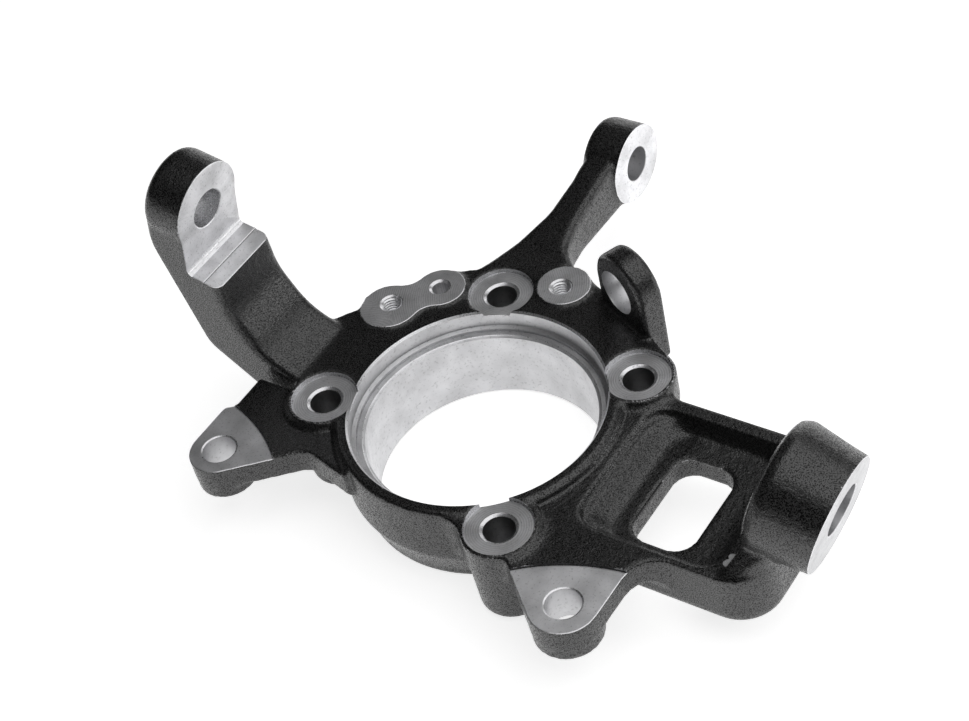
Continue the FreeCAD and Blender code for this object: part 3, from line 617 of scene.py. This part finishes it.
# which faces are bare: found by their place on the machined surfaces
def paintBareFaces(item):
    mesh = item.data
    mesh.materials.clear()
    for material in finishes.values():
        mesh.materials.append(material)
    count = len(mesh.polygons)
    centres = np.empty(count * 3)
    mesh.polygons.foreach_get("center", centres)
    normals = np.empty(count * 3)
    mesh.polygons.foreach_get("normal", normals)
    centres = centres.reshape(-1, 3) / mm
    normals = normals.reshape(-1, 3)
    slots = np.zeros(count, dtype=np.int32)

    def flat(point, normal, reach, finish, close=0.03):
        normal = np.array(normal)
        offset = centres - np.array(point)
        height = offset @ normal
        away = np.linalg.norm(offset - height[:, None] * normal, axis=1)
        slots[(np.abs(height) < close) & (normals @ normal > 0.99) & (away < reach)] = slotNumbers[finish]

    def wall(point, axis, profile, finish, close=0.06):
        # profile is the (radius, height) line that the wall was turned with
        axis = np.array(axis)
        offset = centres - np.array(point)
        height = offset @ axis
        radial = offset - height[:, None] * axis
        away = np.linalg.norm(radial, axis=1)
        inward = np.einsum("ij,ij->i", normals, -radial / np.maximum(away, 0.001)[:, None])
        for (r1, z1), (r2, z2) in zip(profile, profile[1:]):
            along = np.array([r2 - r1, z2 - z1])
            length = np.linalg.norm(along)
            along = along / length
            run = (away - r1) * along[0] + (height - z1) * along[1]
            gap = np.abs(-(away - r1) * along[1] + (height - z1) * along[0])
            side = np.abs(inward * along[1] + (normals @ axis) * along[0]) > 0.9
            slots[(gap < close) & (run > -0.05) & (run < length + 0.05) & side] = slotNumbers[finish]

    hub, hubEdge, hubFace = (machiningSettings[key] for key in ("hub", "hubEdge", "hubFace"))
    for place in holePlaces["hub"]:
        flat(place, up, hubFace + 0.2, "mill")
        wall(place, up, [(hubFace, 0), (hubFace, 3)], "wall")
        # the walls of the deep hub holes take the near-black iron, which is painted shade
        wall(place, up, [(hub, -38.5), (hub, -0.8)], "hole")
        wall(place, up, [(hub, -0.8), (hubEdge, 0)], "edge")
    ear, earEdge = machiningSettings["ear"], machiningSettings["earEdge"]
    for place in holePlaces["ear"]:
        flat(place, up, 60, "face")
        wall(place, up, [(ear, -20), (ear, -0.3)], "bore")
        wall(place, up, [(ear, -0.3), (earEdge, 0)], "edge")
    for place in holePlaces["screw"] + holePlaces["pin"]:
        flat(place, up, 40, "mill")
    for kind, chamfer in (("screw", 0.6), ("pin", 0.8)):
        radius, edge = machiningSettings[kind], machiningSettings[kind + "Edge"]
        for place in holePlaces[kind]:
            wall(place, up, [(radius, -18), (radius, -chamfer)], "mill")
            wall(place, up, [(radius, -chamfer), (edge, 0)], "edge")
    wall((0, 0, 0), up, [(45.3, -38), (45.3, -7.9)], "bore")
    wall((0, 0, 0), up, [(48.5, -7.1), (48.5, -5.8), (50, -5.2), (50, 1.4)], "bore")
    wall((0, 0, 0), up, [(50, 1.4), (52.4, 3.8)], "edge")
    wall((0, 0, 0), up, [(45.3, -7.9), (46.1, -7.1), (48.5, -7.1)], "face")
    flat(holePlaces["upperEye"], -upperAxis, 45, "face")
    flat(ledgePoint, upperSquare, 45, "face")
    flat(ledgePoint - upperSquare * ledgeSettings["pass"], upperSquare, 45, "face")
    corner = ledgeSettings["corner"]
    wall(ledgePoint + upperSquare * corner - upperAxis * corner, (1, 0, 0), [(corner, -30), (corner, 30)], "edge", 0.15)
    flat(holePlaces["tieEye"], (0, -1, 0), 25, "face")
    flat(holePlaces["lowerEye"], -lowerAxis, 40, "bore")
    wall(holePlaces["upperEye"], upperAxis, seatProfiles["upperEye"], "wall")
    wall(holePlaces["tieEye"], (0, 1, 0), seatProfiles["tieEye"], "bore")
    wall(holePlaces["lowerEye"], lowerAxis, seatProfiles["lowerEye"], "bore")
    wall(holePlaces["tabHole"], tabAxis, seatProfiles["tabHole"], "bore")
    mesh.polygons.foreach_set("material_index", slots)
    mesh.update()


wearSettings = {"from": 0.06, "to": 0.22, "span": 0.0022}
rimSettings = {"width": 0.00030, "drop": 0.00016}


def markWear(item):
    # how far each point stands proud of its neighbours: sharp outside edges are rubbed and burred
    mesh = item.data
    spots, normals, ends = meshArrays(mesh)
    lengths = np.linalg.norm(spots[ends[:, 0]] - spots[ends[:, 1]], axis=1)
    span = np.zeros(len(spots))
    for side in (0, 1):
        np.maximum.at(span, ends[:, side], lengths)
    proud = np.einsum("ij,ij->i", spots - neighbourMean(spots, ends), normals) / np.maximum(span, 0.0001)
    wear = np.clip((proud - wearSettings["from"]) / (wearSettings["to"] - wearSettings["from"]), 0, 1)
    wear[span > wearSettings["span"]] = 0
    mesh.attributes.new("wear", "FLOAT", "POINT").data.foreach_set("value", wear.astype(np.float32))
    print("wear", round(float(wear.mean()), 3))


def brightRims(item):
    # the thin burr that the cutter leaves round a milled face, as a narrow strip of its own
    grid = bmesh.new()
    grid.from_mesh(item.data)
    for finish, rimFinish, direction in (
        ("face", "edge", Vector(up)), ("face", "edge", -upperAxis), ("face", "edge", upperSquare),
        ("face", "edge", Vector((0, -1, 0))), ("bore", "wall", -lowerAxis), ("mill", "wall", Vector(up)),
    ):
        slot = slotNumbers[finish]
        faces = [face for face in grid.faces if face.material_index == slot and face.normal.dot(direction) > 0.999]
        made = bmesh.ops.inset_region(grid, faces=faces, thickness=rimSettings["width"], use_boundary=True,
                                      use_even_offset=True)
        inner = set()
        for face in faces:
            inner.update(face.verts)
        outer = set()
        for face in made["faces"]:
            face.material_index = slotNumbers[rimFinish]
            outer.update(corner for corner in face.verts if corner not in inner)
        for corner in outer:
            corner.co -= direction * rimSettings["drop"]
    bmesh.ops.triangulate(grid, faces=[face for face in grid.faces if len(face.verts) > 4])
    grid.to_mesh(item.data)
    grid.free()


def markSwirl(item):
    # how far a point on a spot face is from the cutter's axis, for the rings that it left
    spots = meshArrays(item.data)[0] / mm
    centres = np.array(holePlaces["hub"])[:, :2]
    swirl = np.min(np.linalg.norm(spots[:, None, :2] - centres[None], axis=2), axis=1)
    item.data.attributes.new("swirl", "FLOAT", "POINT").data.foreach_set("value", (swirl * mm).astype(np.float32))


paintBareFaces(casting)
brightRims(casting)
markWear(casting)
markSwirl(casting)
makeActive(casting)
bpy.ops.object.shade_smooth_by_angle(angle=math.radians(28))
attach(casting, "root")
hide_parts("knuckle_casting")
print("casting painted", len(casting.data.polygons))


# screw threads in the two pads
threadSettings = {"root": 4.0, "crest": 3.35, "pitch": 1.25, "turns": 9, "steps": 48}


def screwThread(name, place):
    pitch = threadSettings["pitch"] * mm
    root = threadSettings["root"] * mm
    crest = threadSettings["crest"] * mm
    steps = threadSettings["steps"]
    turns = threadSettings["turns"]
    rows = [(root, -0.46), (root, 0.46), (crest, 0.09), (crest, -0.09)]
    spots = []
    faces = []
    for step in range(steps * turns + 1):
        turn = 2 * math.pi * step / steps
        for radius, rise in rows:
            z = (step / steps + rise - turns - 0.4) * pitch
            spots.append((radius * math.cos(turn), radius * math.sin(turn), z))
    for step in range(steps * turns):
        for corner in range(4):
            a = step * 4 + corner
            b = step * 4 + (corner + 1) % 4
            faces.append((a, a + 4, b + 4, b))
    last = steps * turns * 4
    faces.append((0, 1, 2, 3))
    faces.append((last + 3, last + 2, last + 1, last))
    mesh = bpy.data.meshes.new(name)
    mesh.from_pydata(spots, [], faces)
    piece = bpy.data.objects.new(name, mesh)
    bpy.context.scene.collection.objects.link(piece)
    mesh.transform(Matrix.Translation(Vector(place) * mm))
    makeActive(piece)
    bpy.ops.object.mode_set(mode="EDIT")
    bpy.ops.mesh.select_all(action="SELECT")
    bpy.ops.mesh.normals_make_consistent(inside=False)
    bpy.ops.object.mode_set(mode="OBJECT")
    bpy.ops.object.shade_smooth_by_angle(angle=math.radians(30))
    mesh.materials.append(finishes["edge"])
    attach(piece, "root")
    return piece


screwThread("sensorThread", holePlaces["screw"][0])
screwThread("shieldThread", holePlaces["screw"][1])
print("threads made")


# floor, light and camera
studioSettings = {
    "floorGlow": 0.78, "paper": 0.86, "room": 0.02,
    "lamps": {
        "topSoftbox": {"place": (0.35, -0.68, 1.1), "target": (0.35, -0.68, 0), "size": (1.9, 1.85), "energy": 12.0},
        "frontCard": {"place": (1.0, -1.55, 0.36), "target": (0, 0.1, 0.02), "size": (1.2, 0.6), "energy": 4.0},
        "sideCard": {"place": (1.5, 0.3, 0.35), "target": (0, 0, 0), "size": (1.2, 0.7), "energy": 3.0},
    },
}
cameraSettings = {
    "lens": 78.96, "sensor": 36, "place": (-0.4131, -0.3922, 0.5679),
    "rightward": (0.534, -0.827, -0.178), "forward": (0.530, 0.491, -0.691),
}
clearSelection()
bpy.ops.mesh.primitive_plane_add(size=40, location=(0, 0, -0.0381))
floor = bpy.context.object
floor.name = "paleFloor"
floorMaterial = bpy.data.materials.new("paleFloor")
tree = nodesOf(floorMaterial)
glow = addNode(tree, "ShaderNodeEmission")
glow.inputs["Strength"].default_value = studioSettings["floorGlow"]
paper = addNode(tree, "ShaderNodeBsdfDiffuse")
paper.inputs["Color"].default_value = (studioSettings["paper"],) * 3 + (1,)
both = addNode(tree, "ShaderNodeAddShader")
join(tree, glow.outputs["Emission"], both.inputs[0])
join(tree, paper.outputs["BSDF"], both.inputs[1])
out = addNode(tree, "ShaderNodeOutputMaterial")
join(tree, both.outputs["Shader"], out.inputs["Surface"])
floor.data.materials.append(floorMaterial)

world = bpy.data.worlds.new("studio")
bpy.context.scene.world = world
world.use_nodes = True
tree = world.node_tree
tree.nodes.clear()
room = addNode(tree, "ShaderNodeBackground")
room.inputs["Color"].default_value = (1, 1, 1, 1)
room.inputs["Strength"].default_value = studioSettings["room"]
out = addNode(tree, "ShaderNodeOutputWorld")
join(tree, room.outputs["Background"], out.inputs["Surface"])


def addLamp(name, place, target, size, energy):
    lamp = bpy.data.lights.new(name, "AREA")
    lamp.shape = "RECTANGLE"
    lamp.size, lamp.size_y = size
    lamp.energy = energy
    item = bpy.data.objects.new(name, lamp)
    bpy.context.scene.collection.objects.link(item)
    item.location = place
    item.rotation_euler = (Vector(target) - Vector(place)).to_track_quat("-Z", "Y").to_euler()


for name, lamp in studioSettings["lamps"].items():
    addLamp(name, **lamp)

cameraData = bpy.data.cameras.new("photoCamera")
cameraData.lens = cameraSettings["lens"]
cameraData.sensor_width = cameraSettings["sensor"]
camera = bpy.data.objects.new("photoCamera", cameraData)
bpy.context.scene.collection.objects.link(camera)
rightward = Vector(cameraSettings["rightward"]).normalized()
forward = Vector(cameraSettings["forward"]).normalized()
upward = rightward.cross(forward).normalized()
rightward = forward.cross(upward)
cameraTurn = Matrix((rightward, upward, -forward)).transposed().to_4x4()
camera.matrix_world = Matrix.Translation(cameraSettings["place"]) @ cameraTurn
bpy.context.scene.camera = camera
bpy.context.scene.view_settings.view_transform = "Standard"
print("studio ready")
